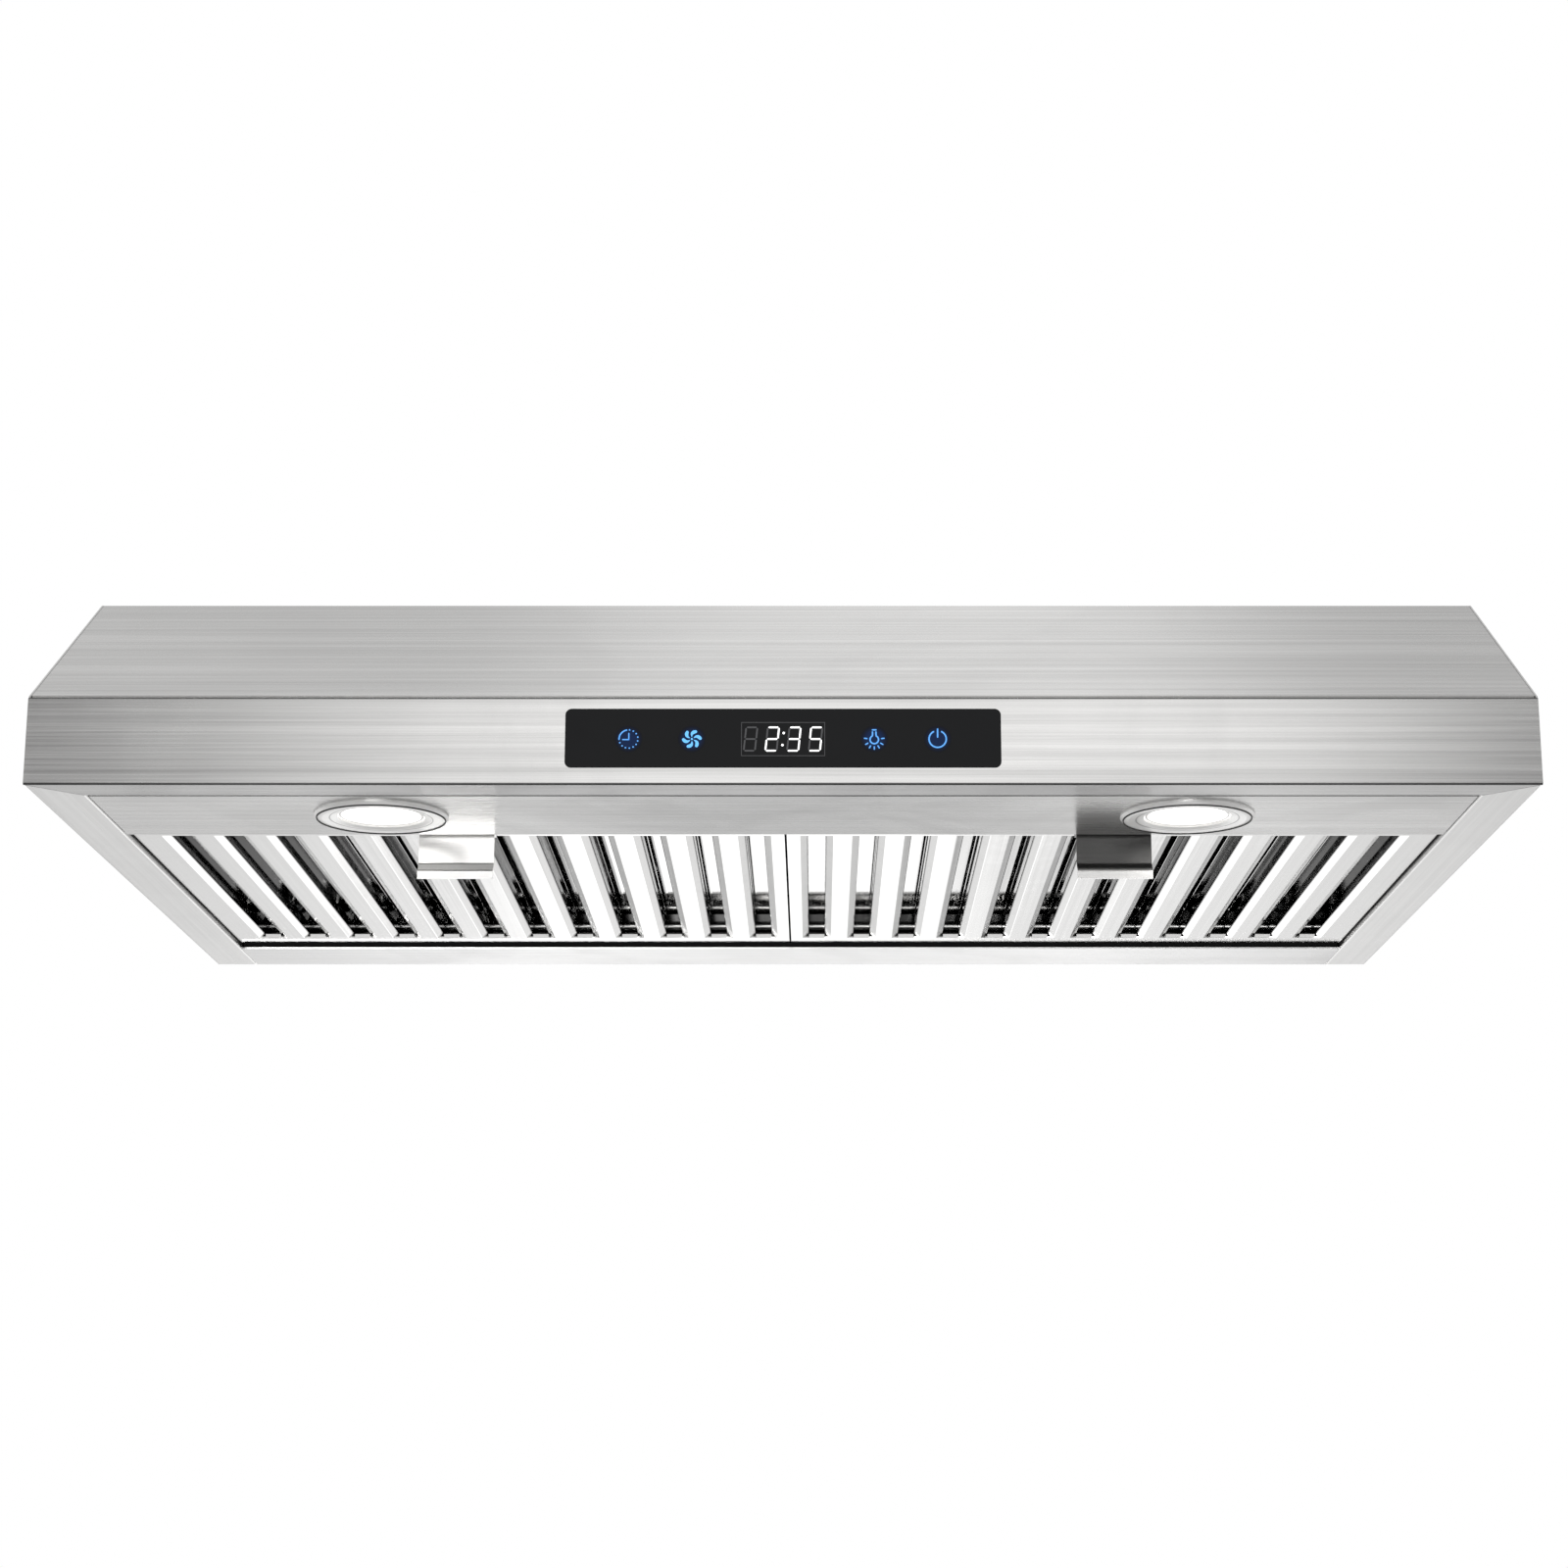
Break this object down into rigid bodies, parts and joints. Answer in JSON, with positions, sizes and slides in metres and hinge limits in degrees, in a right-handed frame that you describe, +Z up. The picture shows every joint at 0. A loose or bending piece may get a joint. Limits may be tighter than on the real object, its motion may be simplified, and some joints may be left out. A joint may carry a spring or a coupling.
{
  "type": "under cabinet range hood",
  "caption": "Under cabinet range hood with a sloped steel canopy, touch glass, underside lamps, hinged baffle filters and a flat blower that discharges up through a round collar.",
  "frame": {"origin": "middle of the four cabinet screw holes, on the top face of the canopy", "axes": "+X to the right of a cook facing the hood, +Y towards the wall, +Z up; the fascia faces -Y"},
  "size_m": [0.755, 0.5, 0.204],
  "materials": {
    "casing_steel": "stainless sheet, fine straight brushing",
    "filter_steel": "bright polished stainless sheet",
    "handle_steel": "bright stainless strip",
    "trim_steel": "satin stainless pressing",
    "zinc_sheet": "galvanised sheet",
    "flap_aluminium": "mill finish",
    "spring_steel": "spring strip",
    "wire_steel": "plated wire",
    "control_glass": "back printed, polished",
    "display_plastic": "potted",
    "housing_plastic": "moulded",
    "circuit_board": "solder mask",
    "led_board": "white solder mask",
    "lamp_lens": "frosted, lit",
    "lamp_aluminium": "die cast",
    "impeller_plastic": "moulded",
    "machine_steel": "turned, zinc plated",
    "motor_steel": "satin",
    "copper_winding": "enamelled wire",
    "rotor_core": "ground",
    "rubber": "moulded",
    "capacitor_can": "moulded",
    "cable_sheath": "extruded"
  },
  "bodies": {
    "casing": {"canopy": "casing_steel", "front_fascia": "casing_steel", "side_panel_left": "casing_steel", "side_panel_right": "casing_steel", "back_panel": "casing_steel", "light_panel": "casing_steel", "rear_rail": "zinc_sheet", "hinge_hooks": "zinc_sheet", "catch_springs": "spring_steel", "control_glass": "control_glass", "control_housing": "housing_plastic", "control_board": "circuit_board", "display_module": "display_plastic", "touch_springs": "spring_steel", "lamp_trim_left": "trim_steel", "lamp_trim_right": "trim_steel", "lamp_lens_left": "lamp_lens", "lamp_lens_right": "lamp_lens", "lamp_body_left": "lamp_aluminium", "lamp_body_right": "lamp_aluminium", "led_boards": "led_board", "lamp_clips": "spring_steel", "blower_plate": "zinc_sheet", "scroll_wall": "zinc_sheet", "inlet_plate": "zinc_sheet", "inlet_guard": "wire_steel", "motor_housing": "motor_steel", "motor_cover": "motor_steel", "stator": "copper_winding", "motor_bearings": "machine_steel", "motor_bushings": "rubber", "capacitor": "capacitor_can", "capacitor_strap": "zinc_sheet", "outlet_box": "zinc_sheet", "duct_collar": "zinc_sheet", "collar_screws": "machine_steel", "damper_pin": "machine_steel", "power_box": "zinc_sheet", "power_box_lid": "zinc_sheet", "power_board": "circuit_board", "cable_gland": "rubber", "motor_cable": "cable_sheath", "lamp_cables": "cable_sheath", "control_cable": "cable_sheath"},
    "impeller": {"impeller": "impeller_plastic", "impeller_nut": "machine_steel", "rotor": "rotor_core", "motor_shaft": "machine_steel"},
    "damper_front": {"damper_flap_front": "flap_aluminium"},
    "damper_rear": {"damper_flap_rear": "flap_aluminium"},
    "filter_left": {"filter_frame_left": "filter_steel", "lower_baffles_left": "filter_steel", "upper_baffles_left": "filter_steel", "filter_handle_left": "handle_steel", "pivot_rod_left": "filter_steel"},
    "filter_right": {"filter_frame_right": "filter_steel", "lower_baffles_right": "filter_steel", "upper_baffles_right": "filter_steel", "filter_handle_right": "handle_steel", "pivot_rod_right": "filter_steel"}
  },
  "joints": [
    {"name": "impeller_spin", "type": "hinge", "parent": "casing", "child": "impeller", "pos_m": [-0.197, -0.015, -0.05], "axis": [0, 0, 1], "continuous": true},
    {"name": "filter_left_tilt", "type": "hinge", "parent": "casing", "child": "filter_left", "pos_m": [-0.175, 0.105, -0.123], "axis": [1, 0, 0], "range_deg": [0, 75], "deforming": ["catch_springs"]},
    {"name": "filter_right_tilt", "type": "hinge", "parent": "casing", "child": "filter_right", "pos_m": [0.175, 0.105, -0.123], "axis": [1, 0, 0], "range_deg": [0, 75], "deforming": ["catch_springs"]},
    {"name": "damper_front_swing", "type": "hinge", "parent": "casing", "child": "damper_front", "pos_m": [0, 0.085, 0.014], "axis": [-1, 0, 0], "range_deg": [0, 75]},
    {"name": "damper_rear_swing", "type": "hinge", "parent": "casing", "child": "damper_rear", "pos_m": [0, 0.085, 0.014], "axis": [1, 0, 0], "range_deg": [0, 75]}
  ]
}
